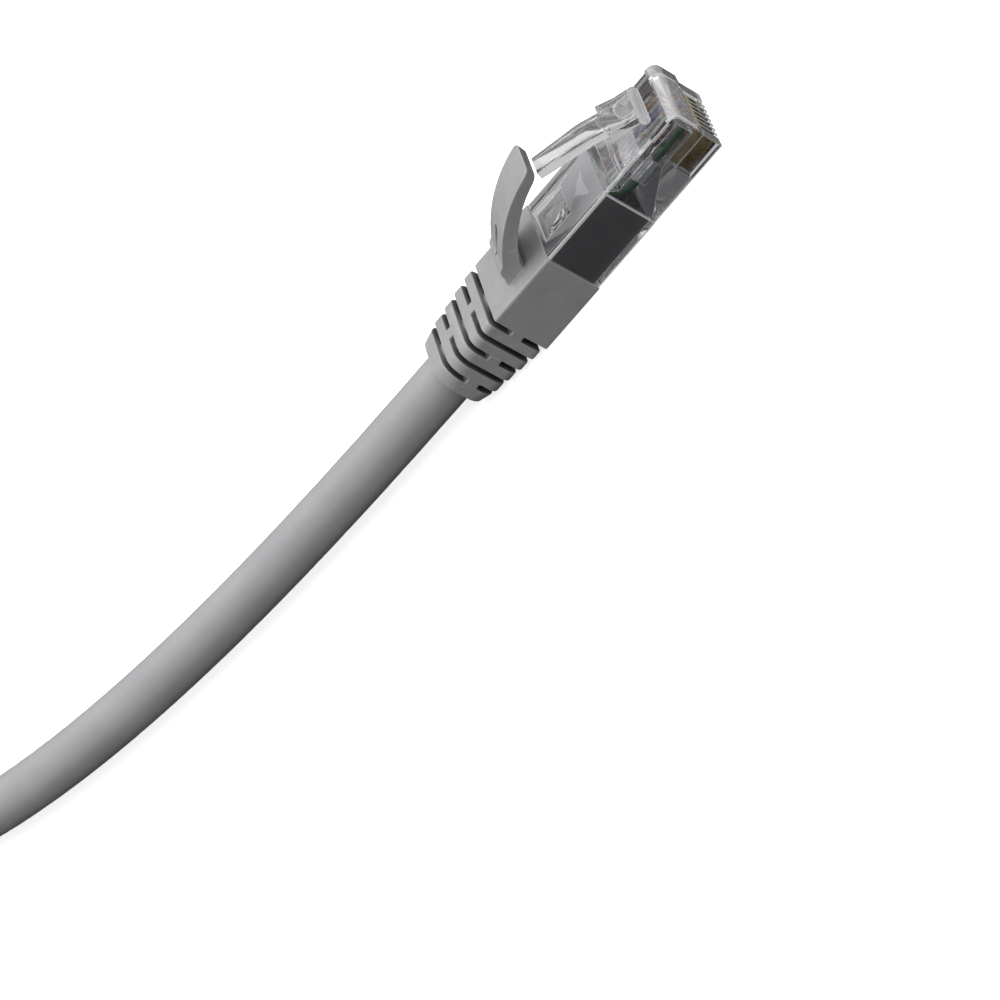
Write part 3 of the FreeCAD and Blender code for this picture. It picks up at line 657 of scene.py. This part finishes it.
class Studio:
    """The world's shader: what a ray sees of the room depends on its height and on how it got there."""

    def __init__(self):
        world = bpy.data.worlds.new("studio")
        bpy.context.scene.world = world
        world.use_nodes = True
        self.tree = world.node_tree
        self.path = self.tree.nodes.new("ShaderNodeLightPath")
        split = self.tree.nodes.new("ShaderNodeSeparateXYZ")
        place = self.tree.nodes.new("ShaderNodeTexCoord")
        self.tree.links.new(place.outputs["Generated"], split.inputs["Vector"])
        self.height = split.outputs["Z"]

    def room(self, start, end, below, above):
        """A brightness that goes from below to above between two heights of the ray's direction."""
        spread = self.tree.nodes.new("ShaderNodeMapRange")
        spread.interpolation_type = "SMOOTHSTEP"
        spread.inputs["From Min"].default_value = start
        spread.inputs["From Max"].default_value = end
        spread.inputs["To Min"].default_value = below
        spread.inputs["To Max"].default_value = above
        self.tree.links.new(self.height, spread.inputs["Value"])
        return spread.outputs["Result"]

    def choose(self, share, otherwise, value):
        """value where share is 1, and otherwise where it is 0."""
        mix = self.tree.nodes.new("ShaderNodeMix")
        self.tree.links.new(share, mix.inputs["Factor"])
        for socket, source in zip(NUMBER_INPUTS, (otherwise, value)):
            if isinstance(source, bpy.types.NodeSocket):
                self.tree.links.new(source, mix.inputs[socket])
            else:
                mix.inputs[socket].default_value = source
        return mix.outputs[NUMBER_OUTPUT]

    def compare(self, depth, operation, limit):
        """1 where this depth of the ray is less or greater than the limit, as the operation says."""
        test = self.tree.nodes.new("ShaderNodeMath")
        test.operation = operation
        test.inputs[1].default_value = limit
        self.tree.links.new(self.path.outputs[depth], test.inputs[0])
        return test.outputs["Value"]

    def show(self, brightness):
        """Makes the room white, at this brightness."""
        background = self.tree.nodes["Background"]
        background.inputs["Color"].default_value = (*WHITE, 1)
        self.tree.links.new(brightness, background.inputs["Strength"])


def make_world():
    """White behind the object, a bright room above it and a dark one below it."""
    studio = Studio()
    few_surfaces = studio.compare("Transmission Depth", "LESS_THAN", SEE_THROUGH_SURFACES)
    lights_dull_surface = studio.compare("Diffuse Depth", "GREATER_THAN", ANY_DEPTH)
    through = studio.room(start=-0.6, end=0.5, below=0.2, above=0.85)
    through = studio.choose(few_surfaces, through, SEEN_THROUGH)
    through = studio.choose(lights_dull_surface, through, 0.0)
    mirrored = studio.room(start=-0.1, end=0.45, below=0.02, above=1.1)
    lighting = studio.room(start=-0.15, end=0.25, below=0.03, above=DOME_BRIGHTNESS)
    seen = studio.choose(studio.path.outputs["Is Glossy Ray"], lighting, mirrored)
    seen = studio.choose(studio.path.outputs["Is Transmission Ray"], seen, through)
    studio.show(studio.choose(studio.path.outputs["Is Camera Ray"], seen, 1.0))


def make_light(name, place, size, power):
    """A square soft light at a place, turned to the boot of end A."""
    data = bpy.data.lights.new(name, "AREA")
    data.size = size * MM
    data.energy = power
    light = bpy.data.objects.new(name, data)
    bpy.context.scene.collection.objects.link(light)
    light.location = Vector(place) * MM
    direction = (LIT_PLACE - Vector(place)).normalized()
    light.rotation_mode = "QUATERNION"
    light.rotation_quaternion = direction.to_track_quat("-Z", "Y")


def make_lights():
    """A large key light from above and a weak fill light from the camera's side."""
    make_light("key", place=(-150, 150, 600), size=500, power=2.0)
    make_light("fill", place=(300, -500, 250), size=300, power=0.25)


def make_camera():
    """The camera at its place, turned along its three directions."""
    data = bpy.data.cameras.new("camera")
    data.sensor_width = SENSOR_WIDTH
    data.lens = LENS
    data.clip_start = CAMERA_NEAR
    data.clip_end = CAMERA_FAR
    camera = bpy.data.objects.new("camera", data)
    bpy.context.scene.collection.objects.link(camera)
    turn = Matrix((CAMERA_RIGHT, CAMERA_UP, CAMERA_BACK)).transposed()
    camera.matrix_world = Matrix.Translation(CAMERA_PLACE) @ turn.to_4x4()
    bpy.context.scene.camera = camera


def set_colours_and_bounces():
    """Plain display colours, and enough bounces for the layers of clear plastic."""
    bpy.context.scene.view_settings.view_transform = "Standard"
    bpy.context.scene.cycles.max_bounces = MOST_BOUNCES
    bpy.context.scene.cycles.glossy_bounces = GLOSSY_BOUNCES
    bpy.context.scene.cycles.transmission_bounces = TRANSMISSION_BOUNCES


# ---- the whole object in its studio ----
make_plugs()
make_cable()
make_floor()
make_world()
make_lights()
make_camera()
set_colours_and_bounces()
